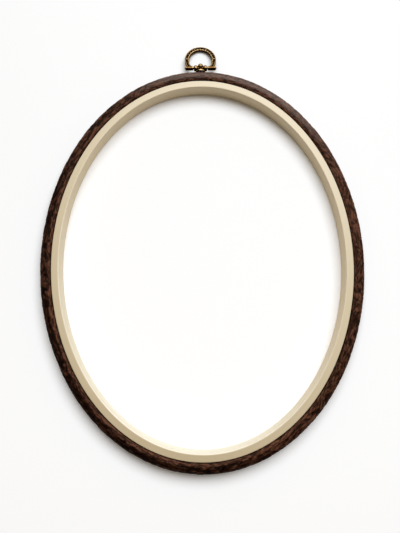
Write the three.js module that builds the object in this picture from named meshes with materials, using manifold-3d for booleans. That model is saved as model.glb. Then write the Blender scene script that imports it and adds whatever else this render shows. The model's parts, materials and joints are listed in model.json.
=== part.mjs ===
// An oval embroidery hoop that is also a display frame: a rigid inner hoop with a front lip, a flexible
// outer hoop that stretches over it without any screw, and a small cast hanger at the top.
// Millimetres. +Z is the front of the hoop, +Y is towards the hanger, and Z = 0 is the surface it lies on.
// The frame's origin is the middle of the footprint.

import * as THREE from "three";
import { mergeVertices } from "three/addons/utils/BufferGeometryUtils.js";
import Module from "manifold-3d";

const wasm = await Module();
wasm.setup();

// Hoops
const HOOP_WIDTH = 203; // outline of the outer hoop, side to side
const HOOP_LENGTH = 254; // outline of the outer hoop, top to bottom
const HOOP_DEPTH = 10; // front to back
const CLOTH_GAP = 0.3; // room for the cloth between the two hoops
const RIM_BAND = 8.2; // outer hoop, from its seat wall to its outer edge
const RING_BAND = 4.2; // inner hoop, from its opening to its seat wall
const LIP_OVERHANG = 0.8; // how far the lip stands out over the seat wall
const LIP_THICKNESS = 1.2; // depth of the lip at its edge
const FACE_FALL = 1.05; // how far the front face falls from the opening to the lip
const CREASE_ROUND = 0.45; // rounding where the front face turns into the opening
const LIP_ROUND = 0.4; // rounding of the lip's front edge
const BACK_ROUND = 0.5; // rounding of the edges at the back
const CROWN_BELOW = 0.15; // the outer hoop's crown lies this far below the front
const MOUTH_BELOW = 1.7; // the outer hoop's edge beside the lip lies this far below the front
const SHOULDER = 4.6; // from the outer hoop's crown out to its edge
const HEEL = 4.0; // from the outer hoop's back face out to its edge
const FULLNESS = 0.66; // how square the outer hoop's shoulder is: 0.55 is an ellipse

// Hanger
const POST_REACH = 3.6; // from the hoop's edge out to the hinge pin
const BALL_RADIUS = 1.9; // ball finial of the post
const BALL_RISE = 1.25; // from the hinge pin to the middle of the ball
const BEAD_RADIUS = 1.9; // beads of the barrel, left and right of the ball
const BEAD_LENGTH = 2.7; // each bead along the pin
const BEADS_APART = 3.7; // barrel between the beads
const WAIST_RADIUS = 1.0; // barrel between the beads and at its ends
const NECK_RADIUS = 1.4; // end of the post's neck, which presses on the washer
const NECK_REACH = 1.5; // from the hinge pin down to the end of the neck
const SHANK_RADIUS = 0.9; // screw shank in the outer hoop
const TIP_LENGTH = 1.6; // pointed end of the shank
const SEAT_WALL = 1.6; // wall of the outer hoop that is left behind the screw hole
const WASHER_RADIUS = 3.1;
const WASHER_WALL = 0.55;
const WASHER_RIM = 0.75; // upright edge of the dome
const PIN_RADIUS = 0.5;
const PIN_PLAY = 0.12; // around the pin, and under its heads
const PIN_HEAD_RADIUS = 0.85;
const PIN_HEAD_HEIGHT = 0.3;
const KNUCKLE_RADIUS = 1.35;
const KNUCKLE_ROUND = 0.25;
const END_PLAY = 0.25; // between a knuckle and the barrel's end

// Bail
const BAIL_WIDTH = 21.2; // across its loop
const BAIL_REACH = 18.4; // from the hinge pin to the top of the loop
const LOOP_RISE = 7.0; // from the hinge pin to the middle of the loop
const BAIL_BAND = 3.0; // the band's width
const BAIL_THICKNESS = 1.6;
const RIDGE_WIDTH = 1.0; // ridge along the inside of the loop
const RIM_WIDTH = 0.7; // raised rim along the outside of the loop
const CHANNEL_DEPTH = 0.45; // channel between the ridge and the rim, where the pearls lie
const BAND_ROUND = 0.35; // rounding of the band's edges
const PEARL_RADIUS = 0.68; // pearls, the small beads in the channel
const PEARL_PITCH = 12.5; // from one pearl to the next, in degrees of the loop
const TOP_PEARLS = 3; // between the collars
const SIDE_PEARLS = 3; // after each collar
const FIRST_PEARL = 9.5; // from a collar to the side pearl next to it, in degrees of the loop
const COLLAR_ANGLE = 25.5; // each collar's place, in degrees from the top of the loop
const COLLAR_LENGTH = 1.2;
const COLLAR_PROUD = 0.12; // how far a collar stands out of the band
const BOSS_ANGLE = 86; // each side boss's place, in degrees from the top of the loop
const BOSS_RADIUS = 0.8;
const FOOT_RISE = 5.2; // from the hinge pin to where each foot starts to flare
const FOOT_BEND = 2.2; // from the hinge pin to the bend in a foot's inner edge
const FOOT_THICKNESS = 1.4;
const FOOT_HOLLOW = 0.4; // depth of the hollow in the front of each foot
const FOOT_STRAND = 0.9; // width of the strands round that hollow

const CLEARANCE = 0.3; // between pieces that touch
const REST_GAP = 0.12; // between the bail and the surface it lies on

// How finely curves are divided
const HOOP_STEPS = 96;
const BAIL_STEPS = 56;
const CURVE_STEPS = 5;
const FILLET_STEPS = 2;
const ROUND_SIDES = 20;

const materials = {
  vinyl: new THREE.MeshStandardMaterial({ color: 0x4a2e22, roughness: 0.5, metalness: 0 }),
  plastic: new THREE.MeshStandardMaterial({ color: 0xe6dcc0, roughness: 0.4, metalness: 0 }),
  brass: new THREE.MeshStandardMaterial({ color: 0x8a6536, roughness: 0.38, metalness: 1 }),
};

// A closed solid from a three.js geometry, with shared corners merged and empty triangles left out.
function solidOf(geometry) {
  const plain = new THREE.BufferGeometry();
  plain.setAttribute("position", geometry.getAttribute("position"));
  plain.setIndex(geometry.getIndex());
  const merged = mergeVertices(plain, 1e-4);
  const index = merged.getIndex().array;
  const corners = [];
  for (let i = 0; i < index.length; i += 3) {
    const [a, b, c] = index.subarray(i, i + 3);
    if (a !== b && b !== c && c !== a) corners.push(a, b, c);
  }
  const vertProperties = merged.getAttribute("position").array;
  return new wasm.Manifold(new wasm.Mesh({ numProp: 3, vertProperties, triVerts: new Uint32Array(corners) }));
}

function meshOf(name, solid, material) {
  const { vertProperties, triVerts } = solid.getMesh();
  const geometry = new THREE.BufferGeometry();
  geometry.setAttribute("position", new THREE.BufferAttribute(vertProperties, 3));
  geometry.setIndex(new THREE.BufferAttribute(triVerts, 1));
  geometry.computeVertexNormals();
  const mesh = new THREE.Mesh(geometry, material);
  mesh.name = name;
  return mesh;
}

// Path points without the repeats that a curve's start makes.
function outline(path, divisions) {
  const points = path.getPoints(divisions);
  return points.filter((point, i) => i === 0 || point.distanceTo(points[i - 1]) > 1e-6);
}

// Carries a closed section once round an oval. A section point (u, z) lands at the oval's point, moved out
// by u along the oval's normal, at height z.
function aroundOval(section, halfWidth, halfLength, steps) {
  const turned = section.map((point) => new THREE.Vector2(halfWidth + point.x, point.y));
  const geometry = new THREE.LatheGeometry(turned, steps);
  const position = geometry.getAttribute("position");
  for (let i = 0; i < position.count; i++) {
    const angle = Math.atan2(position.getZ(i), position.getX(i));
    const out = Math.hypot(position.getX(i), position.getZ(i)) - halfWidth;
    const height = position.getY(i);
    const place = ovalPoint(halfWidth, halfLength, angle, out);
    position.setXYZ(i, place.x, place.y, height);
  }
  return solidOf(geometry);
}

function ovalPoint(halfWidth, halfLength, angle, out) {
  const normal = new THREE.Vector2(halfLength * Math.cos(angle), halfWidth * Math.sin(angle)).normalize();
  const place = new THREE.Vector2(halfWidth * Math.cos(angle), halfLength * Math.sin(angle));
  return place.addScaledVector(normal, out);
}

// Turns an outline of (radius, height) points into a solid of revolution about Y, or about X if lying.
function turned(points, lying = false) {
  const geometry = new THREE.LatheGeometry(points, ROUND_SIDES);
  if (lying) geometry.rotateZ(-Math.PI / 2);
  return solidOf(geometry);
}

// A round bar about X, between two places along it.
function barAlongX(radius, from, to, round = 0) {
  const path = new THREE.Path();
  path.moveTo(0, from);
  path.lineTo(radius - round, from);
  path.quadraticCurveTo(radius, from, radius, from + round);
  path.lineTo(radius, to - round);
  path.quadraticCurveTo(radius, to, radius - round, to);
  path.lineTo(0, to);
  return turned(outline(path, FILLET_STEPS), true);
}

// Inner hoop: a plain wall round the opening, a front face that falls outwards, and the lip that covers
// the edge of the cloth.
const lipUnder = HOOP_DEPTH - FACE_FALL - LIP_THICKNESS;

function innerSection() {
  const slope = FACE_FALL / (RING_BAND + LIP_OVERHANG);
  const lipFront = HOOP_DEPTH - FACE_FALL;
  const path = new THREE.Path();
  path.moveTo(-RING_BAND, BACK_ROUND);
  path.lineTo(-RING_BAND, HOOP_DEPTH - CREASE_ROUND);
  path.quadraticCurveTo(-RING_BAND, HOOP_DEPTH, CREASE_ROUND - RING_BAND, HOOP_DEPTH - CREASE_ROUND * slope);
  path.lineTo(LIP_OVERHANG - LIP_ROUND, lipFront + LIP_ROUND * slope);
  path.quadraticCurveTo(LIP_OVERHANG, lipFront, LIP_OVERHANG, lipFront - LIP_ROUND);
  path.lineTo(LIP_OVERHANG, lipUnder);
  path.lineTo(0, lipUnder);
  path.lineTo(0, BACK_ROUND);
  path.quadraticCurveTo(0, 0, -BACK_ROUND, 0);
  path.lineTo(BACK_ROUND - RING_BAND, 0);
  path.quadraticCurveTo(-RING_BAND, 0, -RING_BAND, BACK_ROUND);
  return outline(path, 2 * FILLET_STEPS);
}

// Outer hoop: a flat seat wall with a rebate for the lip, a rounded crown and a full, round outside.
function outerSection() {
  const seat = CLOTH_GAP;
  const edge = CLOTH_GAP + RIM_BAND;
  const rebate = LIP_OVERHANG + CLEARANCE;
  const crown = HOOP_DEPTH - CROWN_BELOW;
  const middle = HOOP_DEPTH / 2;
  const mouth = HOOP_DEPTH - MOUTH_BELOW;
  const path = new THREE.Path();
  path.moveTo(seat, BACK_ROUND);
  path.lineTo(seat, lipUnder - CLEARANCE);
  path.lineTo(rebate, lipUnder - CLEARANCE);
  path.lineTo(rebate, mouth);
  path.quadraticCurveTo(rebate, crown, edge - SHOULDER, crown);
  path.bezierCurveTo(
    edge - SHOULDER * (1 - FULLNESS), crown,
    edge, middle + (crown - middle) * FULLNESS,
    edge, middle,
  );
  path.bezierCurveTo(
    edge, middle * (1 - FULLNESS),
    edge - HEEL * (1 - FULLNESS), 0,
    edge - HEEL, 0,
  );
  path.lineTo(seat + BACK_ROUND, 0);
  path.quadraticCurveTo(seat, 0, seat, BACK_ROUND);
  return outline(path, CURVE_STEPS);
}

const seatHalfWidth = HOOP_WIDTH / 2 - RIM_BAND - CLOTH_GAP;
const seatHalfLength = HOOP_LENGTH / 2 - RIM_BAND - CLOTH_GAP;

function innerHoop() {
  const ring = aroundOval(innerSection(), seatHalfWidth, seatHalfLength, HOOP_STEPS);
  return meshOf("inner_hoop", ring, materials.plastic);
}

// Measured from the hinge pin, along Y: the hoop's edge, and the screw's reach into the hoop.
const edgeAt = -POST_REACH;
const tipAt = edgeAt - (RIM_BAND - SEAT_WALL - CLEARANCE);

// A pointed round bar that hangs down Y from the hinge pin: the shank, and wider, the hole for it.
function shank(radius, from, tip) {
  return turned([
    new THREE.Vector2(0, tip),
    new THREE.Vector2(radius, tip + TIP_LENGTH),
    new THREE.Vector2(radius, from),
    new THREE.Vector2(0, from),
  ]);
}

const pinAt = new THREE.Vector3(0, HOOP_LENGTH / 2 + POST_REACH, HOOP_DEPTH / 2);

function outerHoop() {
  const ring = aroundOval(outerSection(), seatHalfWidth, seatHalfLength, HOOP_STEPS);
  const hole = shank(SHANK_RADIUS + CLEARANCE, 0, tipAt - CLEARANCE).translate(pinAt.toArray());
  return meshOf("outer_hoop", ring.subtract(hole), materials.vinyl);
}

// Post: a barrel of two beads on the pin, with a ball on top, and the neck and the screw shank under it.
const pinHole = PIN_RADIUS + PIN_PLAY;
const barrelHalf = BEADS_APART / 2 + BEAD_LENGTH;
const BEZIER_MIDDLE = 0.75; // share of its two leads' reach that a cubic curve has at its middle

function hangerPost() {
  const bulge = WAIST_RADIUS + (BEAD_RADIUS - WAIST_RADIUS) / BEZIER_MIDDLE;
  const path = new THREE.Path();
  path.moveTo(0, -barrelHalf);
  path.lineTo(WAIST_RADIUS, -barrelHalf);
  path.bezierCurveTo(bulge, -barrelHalf, bulge, -BEADS_APART / 2, WAIST_RADIUS, -BEADS_APART / 2);
  path.lineTo(WAIST_RADIUS, BEADS_APART / 2);
  path.bezierCurveTo(bulge, BEADS_APART / 2, bulge, barrelHalf, WAIST_RADIUS, barrelHalf);
  path.lineTo(0, barrelHalf);
  const barrel = turned(outline(path, CURVE_STEPS), true);
  const ball = ballAt(BALL_RADIUS, new THREE.Vector3(0, BALL_RISE, 0), ROUND_SIDES);
  const neck = turned([
    new THREE.Vector2(0, -NECK_REACH),
    new THREE.Vector2(NECK_RADIUS, -NECK_REACH),
    new THREE.Vector2(WAIST_RADIUS, 0),
    new THREE.Vector2(0, 0),
  ]);
  const post = barrel.add(ball).add(neck).add(shank(SHANK_RADIUS, 0, tipAt));
  const bore = barAlongX(pinHole, -2 * barrelHalf, 2 * barrelHalf);
  return meshOf("hanger_post", post.subtract(bore), materials.brass);
}

// Washer: a thin dome between the neck and the hoop, its rim on the hoop's edge.
function domeWasher() {
  const hole = SHANK_RADIUS + CLEARANCE;
  const rim = edgeAt + CLEARANCE;
  const top = -NECK_REACH - CLEARANCE;
  const span = WASHER_RADIUS - hole;
  const foot = rim + WASHER_RIM;
  const path = new THREE.Path();
  path.moveTo(hole, top);
  path.lineTo(hole, top - WASHER_WALL);
  path.quadraticCurveTo(hole + span * FULLNESS, top - WASHER_WALL, WASHER_RADIUS - WASHER_WALL, rim);
  path.lineTo(WASHER_RADIUS, rim);
  path.lineTo(WASHER_RADIUS, foot);
  path.quadraticCurveTo(hole + span * FULLNESS, top, hole, top);
  return meshOf("dome_washer", turned(outline(path, CURVE_STEPS)), materials.brass);
}

// The knuckles and the pin's heads together are as wide as the loop.
const loopHalfWidth = BAIL_WIDTH / 2;
const knuckleStart = barrelHalf + END_PLAY;
const knuckleEnd = loopHalfWidth - PIN_HEAD_HEIGHT - PIN_PLAY;

function hingePin() {
  const headFrom = knuckleEnd + PIN_PLAY;
  const headTo = headFrom + PIN_HEAD_HEIGHT;
  const path = new THREE.Path();
  path.moveTo(0, -headTo);
  path.quadraticCurveTo(PIN_HEAD_RADIUS, -headTo, PIN_HEAD_RADIUS, -headFrom);
  path.lineTo(PIN_RADIUS, -headFrom);
  path.lineTo(PIN_RADIUS, headFrom);
  path.lineTo(PIN_HEAD_RADIUS, headFrom);
  path.quadraticCurveTo(PIN_HEAD_RADIUS, headTo, 0, headTo);
  return meshOf("hinge_pin", turned(outline(path, FILLET_STEPS), true), materials.brass);
}

// Bail, flat in XY with the pin along X through its origin: an oval loop whose feet run into two knuckles.
const loopHalfLength = BAIL_REACH - LOOP_RISE;
const front = BAIL_THICKNESS / 2;

function bailSection() {
  const inside = -BAIL_BAND;
  const ridge = inside + RIDGE_WIDTH;
  const path = new THREE.Path();
  path.moveTo(inside, BAND_ROUND - front);
  path.lineTo(inside, front - BAND_ROUND);
  path.quadraticCurveTo(inside, front, inside + BAND_ROUND, front);
  path.quadraticCurveTo(ridge, front, ridge, front - CHANNEL_DEPTH);
  path.lineTo(-RIM_WIDTH, front - CHANNEL_DEPTH);
  path.quadraticCurveTo(-RIM_WIDTH, front, -BAND_ROUND, front);
  path.quadraticCurveTo(0, front, 0, front - BAND_ROUND);
  path.lineTo(0, BAND_ROUND - front);
  path.quadraticCurveTo(0, -front, -BAND_ROUND, -front);
  path.lineTo(inside + BAND_ROUND, -front);
  path.quadraticCurveTo(inside, -front, inside, BAND_ROUND - front);
  return outline(path, FILLET_STEPS);
}

// A place on the loop, given its angle from the top and how far in from the outer edge it lies.
function loopPlace(fromTop, inwards, height) {
  const angle = Math.PI / 2 - THREE.MathUtils.degToRad(fromTop);
  const place = ovalPoint(loopHalfWidth, loopHalfLength, angle, -inwards);
  return new THREE.Vector3(place.x, place.y + LOOP_RISE, height);
}

function ballAt(radius, place, sides) {
  const ball = new THREE.SphereGeometry(radius, sides, sides / 2);
  return solidOf(ball.translate(place.x, place.y, place.z));
}

// A collar round the band: an oval slice that stands square to the loop.
function collarAt(fromTop) {
  const inner = loopPlace(fromTop, BAIL_BAND, 0);
  const middle = loopPlace(fromTop, BAIL_BAND / 2, 0);
  const across = Math.atan2(middle.y - inner.y, middle.x - inner.x);
  const collar = new THREE.CylinderGeometry(1, 1, COLLAR_LENGTH, ROUND_SIDES);
  collar.scale(BAIL_BAND / 2 + COLLAR_PROUD, 1, front + COLLAR_PROUD);
  collar.rotateZ(across).translate(middle.x, middle.y, middle.z);
  return solidOf(collar);
}

// A flat plate whose outline is given, half of its thickness behind the height and half in front of it.
function plate(points, thickness, height) {
  const shape = new THREE.Shape(points);
  const extruded = new THREE.ExtrudeGeometry(shape, { depth: thickness, bevelEnabled: false });
  return solidOf(extruded.translate(0, 0, height - thickness / 2));
}

// Right foot: a plate that flares from the loop's inner edge to the knuckle, hollow in front.
function foot() {
  const outside = loopPlace(90, BAIL_BAND / 2, 0).x;
  const edge = (inset) => {
    const inside = loopHalfWidth - BAIL_BAND + inset / 2;
    const path = new THREE.Path();
    path.moveTo(outside - inset, 0);
    path.lineTo(knuckleStart + inset, 0);
    path.lineTo(knuckleStart + inset, KNUCKLE_RADIUS);
    path.quadraticCurveTo(inside, FOOT_BEND, inside, FOOT_RISE);
    path.lineTo(outside - inset, FOOT_RISE);
    return outline(path, CURVE_STEPS).reverse();
  };
  const hollow = plate(edge(FOOT_STRAND), 2 * FOOT_HOLLOW, FOOT_THICKNESS / 2);
  return plate(edge(0), FOOT_THICKNESS, 0).subtract(hollow);
}

// The loop's band above the pin, with its feet and knuckles and with room between them for the barrel.
function bailFrame() {
  const band = aroundOval(bailSection(), loopHalfWidth, loopHalfLength, BAIL_STEPS);
  const underPin = new THREE.BoxGeometry(2 * BAIL_WIDTH, 2 * BAIL_REACH, 2 * BAIL_THICKNESS);
  const besideBarrel = new THREE.BoxGeometry(2 * knuckleStart, 2 * KNUCKLE_RADIUS, 2 * BAIL_THICKNESS);
  const loop = band.translate([0, LOOP_RISE, 0]).subtract(solidOf(underPin.translate(0, -BAIL_REACH, 0)));
  const knuckle = barAlongX(KNUCKLE_RADIUS, knuckleStart, knuckleEnd, KNUCKLE_ROUND);
  const rightFoot = foot().add(knuckle);
  return loop.subtract(solidOf(besideBarrel)).add(rightFoot).add(rightFoot.mirror([1, 0, 0]));
}

function hangerBail() {
  let bail = bailFrame();
  const channel = front - CHANNEL_DEPTH;
  const pearlsInwards = (BAIL_BAND - RIDGE_WIDTH + RIM_WIDTH) / 2;
  const pearlAt = (fromTop) => ballAt(PEARL_RADIUS, loopPlace(fromTop, pearlsInwards, channel), 8);
  for (let i = 0; i < TOP_PEARLS; i++) {
    bail = bail.add(pearlAt((i - (TOP_PEARLS - 1) / 2) * PEARL_PITCH));
  }
  for (const side of [-1, 1]) {
    bail = bail.add(collarAt(side * COLLAR_ANGLE));
    bail = bail.add(ballAt(BOSS_RADIUS, loopPlace(side * BOSS_ANGLE, BAIL_BAND / 2, channel), 8));
    for (let i = 0; i < SIDE_PEARLS; i++) {
      bail = bail.add(pearlAt(side * (COLLAR_ANGLE + FIRST_PEARL + i * PEARL_PITCH)));
    }
  }
  bail = bail.subtract(barAlongX(pinHole, -2 * knuckleEnd, 2 * knuckleEnd));
  return meshOf("hanger_bail", bail, materials.brass);
}

// The bail lies with the far edge of its back on the surface under the hoop.
const droop =
  Math.asin((pinAt.z - REST_GAP) / Math.hypot(BAIL_REACH, front)) - Math.atan2(front, BAIL_REACH);

const swinging = new THREE.Group();
swinging.add(hangerBail(), hingePin());
swinging.rotation.x = -droop;

const hanger = new THREE.Group();
hanger.add(hangerPost(), domeWasher(), swinging);
hanger.position.copy(pinAt);

const hoop = new THREE.Group();
hoop.name = "embroidery_hoop";
hoop.add(outerHoop(), innerHoop(), hanger);

// The hanger reaches past one end of the oval, so the hoop moves back by half of that reach.
const footprint = new THREE.Box3().setFromObject(hoop, true).getCenter(new THREE.Vector3());
hoop.position.set(-footprint.x, -footprint.y, 0);

export default hoop;
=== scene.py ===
# %% [markdown]
# # An oval embroidery hoop with its hanger
#
# This hoop has no clamping screw. A rigid cream ring carries the cloth, and a flexible ring of vinyl, moulded
# to look like rough wood, stretches over it and holds it. A small cast hanger is screwed into the top. The
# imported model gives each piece's place and size. Here the pieces get their fine shape and their finish.

# %% Load the frame
import json
import math

import bpy
import numpy as np
from mathutils import Euler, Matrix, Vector


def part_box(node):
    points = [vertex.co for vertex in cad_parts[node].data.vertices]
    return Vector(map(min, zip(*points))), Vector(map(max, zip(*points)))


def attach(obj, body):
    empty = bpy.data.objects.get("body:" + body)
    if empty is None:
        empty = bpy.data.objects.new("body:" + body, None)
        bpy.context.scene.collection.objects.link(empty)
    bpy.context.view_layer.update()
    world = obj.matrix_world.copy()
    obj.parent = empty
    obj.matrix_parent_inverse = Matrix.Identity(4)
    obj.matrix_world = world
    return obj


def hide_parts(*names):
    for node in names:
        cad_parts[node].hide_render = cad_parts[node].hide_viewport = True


MM = 0.001
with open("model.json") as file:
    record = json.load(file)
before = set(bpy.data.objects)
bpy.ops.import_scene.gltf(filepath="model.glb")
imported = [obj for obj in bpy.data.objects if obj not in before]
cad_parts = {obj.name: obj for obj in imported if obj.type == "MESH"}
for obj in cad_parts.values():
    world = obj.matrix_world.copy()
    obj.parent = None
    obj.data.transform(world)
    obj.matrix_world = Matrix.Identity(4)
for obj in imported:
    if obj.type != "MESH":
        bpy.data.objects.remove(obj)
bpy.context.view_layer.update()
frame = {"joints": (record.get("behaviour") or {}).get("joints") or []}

# %% [markdown]
# ## The camera
#
# The photograph looks almost straight down on the hoop from about a forearm's length. A camera that looks
# down needs no turning at all in Blender, so three small tilts are enough. Its place is measured from the
# middle of the hoop, and not from the middle of the whole part, because the hanger sticks out at one end.

# %% Camera
inner_low, inner_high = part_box("inner_hoop")
hoop_middle = (inner_low.y + inner_high.y) / 2 / MM  # along Y, in mm
CAMERA_PLACE = (-3.763, -39.313, 267.069)  # mm from the middle of the hoop's back
CAMERA_TILT = (7.78, -0.38, -0.57)  # degrees about X, Y and Z
FOCAL_LENGTH = 28.46  # mm, on a sensor 36 mm long

camera = bpy.data.objects.new("camera", bpy.data.cameras.new("camera"))
camera.data.lens = FOCAL_LENGTH
camera.data.clip_start = 0.01
camera.location = (Vector(CAMERA_PLACE) + Vector((0, hoop_middle, 0))) * MM
camera.rotation_euler = Euler([math.radians(a) for a in CAMERA_TILT], "XYZ")
bpy.context.scene.collection.objects.link(camera)
bpy.context.scene.camera = camera
bpy.context.scene.view_settings.view_transform = "Standard"
print("camera at", [round(c, 4) for c in camera.location])

# %% [markdown]
# ## Shader sums written as sums
#
# Blender's materials are graphs of nodes. Written out node by node, even `1 - mask * 0.5` takes a dozen
# lines. So one small class wraps an output socket and gives it the usual operators, and each operator adds
# its Math node. Everything else goes through one method, `node`, which takes the type, its settings and its
# sockets.


# %% Node helpers
class Shade:
    """An output of a node. With +, - and * it adds Math nodes, and gives the output of the last of them."""

    def __init__(self, graph, socket):
        self.graph, self.socket = graph, socket

    def result(self, operation, first, second):
        return self.graph.node("ShaderNodeMath", {"operation": operation}, {0: first, 1: second})

    def __add__(self, other):
        return self.result("ADD", self, other)

    def __sub__(self, other):
        return self.result("SUBTRACT", self, other)

    def __rsub__(self, other):
        return self.result("SUBTRACT", other, self)

    def __mul__(self, other):
        return self.result("MULTIPLY", self, other)

    __radd__ = __add__
    __rmul__ = __mul__


class Graph:
    """A tree of nodes, to which `node` adds any node and `put` gives a socket its value or its link."""

    def __init__(self, tree):
        self.tree = tree

    def put(self, socket, value):
        if isinstance(value, Shade):
            self.tree.links.new(value.socket, socket)
        else:
            socket.default_value = value

    def node(self, kind, settings, sockets, output=0):
        """Adds a node of that kind with its settings and its inputs, and gives one of its outputs."""
        made = self.tree.nodes.new(kind)
        for name, value in settings.items():
            setattr(made, name, value)
        for name, value in sockets.items():
            self.put(made.inputs[name], value)
        return Shade(self, made.outputs[output])

    def mix(self, amount, colour_a, colour_b):
        """colour_a where amount is 0 and colour_b where it is 1."""
        sockets = {0: amount, 6: colour_a, 7: colour_b}
        return self.node("ShaderNodeMix", {"data_type": "RGBA"}, sockets, 2)

    def between(self, value, low, high):
        """0 where the value is under low, 1 where it is over high, and smooth in between."""
        settings = {"interpolation_type": "SMOOTHSTEP"}
        return self.node("ShaderNodeMapRange", settings, {0: value, 1: low, 2: high})

    def attribute(self, name, output="Fac"):
        return self.node("ShaderNodeAttribute", {"attribute_name": name}, {}, output)

    def noise(self, vector, scale, detail=3.0, roughness=0.5):
        """Noise from 0 to 1, whose coarsest lumps are one over the scale wide."""
        sockets = {"Vector": vector, "Scale": scale, "Detail": detail, "Roughness": roughness}
        return self.node("ShaderNodeTexNoise", {}, sockets)

    def stretch(self, vector, scale):
        settings = {"operation": "MULTIPLY"}
        return self.node("ShaderNodeVectorMath", settings, {0: vector, 1: scale})


def new_material(name):
    """A material with a Principled shader, and the graph that feeds it."""
    material = bpy.data.materials.new(name)
    material.use_nodes = True
    return material, Graph(material.node_tree), material.node_tree.nodes["Principled BSDF"]


def colour(red, green, blue):
    return (red, green, blue, 1.0)


def grey(value):
    return colour(value, value, value)


# %% [markdown]
# ## Light, floor and background
#
# The hoop lies on white paper under a large soft lamp above its top right. The lamp is near, which shows in
# the shadows: short inside the top, where the lamp stands high, and long outside the bottom. An oval Area
# lamp gives both, and a Light Falloff node keeps it from fading along the hoop. The world fills in the
# rest, warmer than the lamp and stronger from its side. Gloss sees another world, dark but for a white
# backdrop beyond the hanger, so that dark plastic shines on that side only. Paper that takes this light
# renders a little under white, so the camera alone sees it slightly whiter, and the shadow stays. Far from
# the hoop the paper turns into the plain white behind it.

# %% Light, floor and background
LAMP_PLACE = (0.13, 0.40, 0.66)  # metres from the middle of the hoop
LAMP_WIDTH = 0.90  # metres, along X
LAMP_HEIGHT = 0.55  # metres
LAMP_STRENGTH = 3.24  # what a face takes that is turned towards it, as a Sun lamp's strength
LAMP_COLOUR = (0.90, 0.948, 1.0)
SKY_COLOUR = colour(1.0, 0.83, 0.64)  # the walls of a room, warmer than the lamp
SKY_STRENGTH = 0.24
SKY_SWING = 0.22  # how much brighter the sky is on the lamp's side
SKY_LOWEST = 0.02
BACKDROP_LEAN = (0.37, 0.93, 0.0)  # the side on which gloss shows a white backdrop
BACKDROP_SIDE = 0.3, 0.85  # how far a direction leans that way where the backdrop starts and is full
GLOSS_DARK = 0.04  # what gloss shows on the other sides
PAPER = 0.92
PAPER_SEEN = 1.0  # the same paper for the camera
PAPER_LIFT = 0.02, 0.08  # added for the camera only, on the lamp's side and on the other
LIFT_FROM, LIFT_TO = 0.12, -0.16  # metres along Y, where the lift goes from the one to the other
WHITE_FROM, WHITE_TO = 0.22, 0.5  # metres from the middle, where the paper turns into plain white
FLOOR_HALF = 1.5  # metres
FLOOR_DROP = 0.00005  # metres under the hoop, so that the two faces never coincide

lamp = bpy.data.objects.new("lamp", bpy.data.lights.new("lamp", "AREA"))
lamp.data.shape = "ELLIPSE"
lamp.data.color = LAMP_COLOUR
lamp.data.size = LAMP_WIDTH
lamp.data.size_y = LAMP_HEIGHT
lamp.data.energy = LAMP_STRENGTH * math.pi * Vector(LAMP_PLACE).length_squared
lamp.location = Vector(LAMP_PLACE) + Vector((0, hoop_middle * MM, 0))
lamp.rotation_euler = Vector(LAMP_PLACE).to_track_quat("Z", "Y").to_euler()
bpy.context.scene.collection.objects.link(lamp)
lamp.data.use_nodes = True
lamp_graph = Graph(lamp.data.node_tree)
at_the_hoop = {"Strength": 1 / Vector(LAMP_PLACE).length_squared}
even = lamp_graph.node("ShaderNodeLightFalloff", {}, at_the_hoop, "Constant")
lamp_graph.put(lamp.data.node_tree.nodes["Emission"].inputs["Strength"], even)

world = bpy.data.worlds.new("sky")
bpy.context.scene.world = world
world.use_nodes = True
sky = Graph(world.node_tree)
outputs = "Is Camera Ray", "Is Glossy Ray", "Is Transmission Ray"
camera_ray, glossy_ray, clear_ray = (sky.node("ShaderNodeLightPath", {}, {}, name) for name in outputs)
direction = sky.node("ShaderNodeTexCoord", {}, {}, "Generated")
lamp_side = Vector(LAMP_PLACE[:2] + (0.0,)).normalized()
dot = {"operation": "DOT_PRODUCT"}
aside = sky.node("ShaderNodeVectorMath", dot, {0: direction, 1: lamp_side}, "Value")
leaning = sky.node("ShaderNodeVectorMath", dot, {0: direction, 1: BACKDROP_LEAN}, "Value")
swung = SKY_STRENGTH + aside * SKY_SWING
plain = sky.node("ShaderNodeMath", {"operation": "MAXIMUM"}, {0: swung, 1: SKY_LOWEST})
for_gloss = GLOSS_DARK + sky.between(leaning, *BACKDROP_SIDE) * (1 - GLOSS_DARK)
strength = plain + camera_ray * (1 - plain) + (glossy_ray + clear_ray) * (for_gloss - plain)
backdrop = world.node_tree.nodes["Background"]
straight = camera_ray + glossy_ray + clear_ray
sky.put(backdrop.inputs["Color"], sky.mix(straight, SKY_COLOUR, grey(1.0)))
sky.put(backdrop.inputs["Strength"], strength)
world.cycles.sampling_method = "NONE"  # each ray then takes the part of the sky that is meant for its kind

floor_mesh = bpy.data.meshes.new("floor")
corners = [(x * FLOOR_HALF, y * FLOOR_HALF, -FLOOR_DROP) for x, y in ((-1, -1), (1, -1), (1, 1), (-1, 1))]
floor_mesh.from_pydata(corners, [], [(0, 1, 2, 3)])
floor = bpy.data.objects.new("floor", floor_mesh)
bpy.context.scene.collection.objects.link(floor)
paper, graph, shader = new_material("paper")
graph.put(shader.inputs["Roughness"], 1.0)
graph.put(shader.inputs["Specular IOR Level"], 0.0)
place = graph.node("ShaderNodeTexCoord", {}, {}, "Object")
distance = graph.node("ShaderNodeVectorMath", {"operation": "LENGTH"}, {0: place}, "Value")
along_y = graph.node("ShaderNodeSeparateXYZ", {}, {0: place}, "Y")
seen = graph.node("ShaderNodeLightPath", {}, {}, "Is Camera Ray")
far = graph.between(distance, WHITE_FROM, WHITE_TO) * seen
away = graph.between(along_y, LIFT_FROM, LIFT_TO)
lift = seen * (PAPER_LIFT[0] + away * (PAPER_LIFT[1] - PAPER_LIFT[0]))
glow = lift + far * (1 - lift)
white = graph.mix(seen, grey(PAPER), grey(PAPER_SEEN))
graph.put(shader.inputs["Base Color"], graph.mix(far, white, grey(0.0)))
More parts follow.
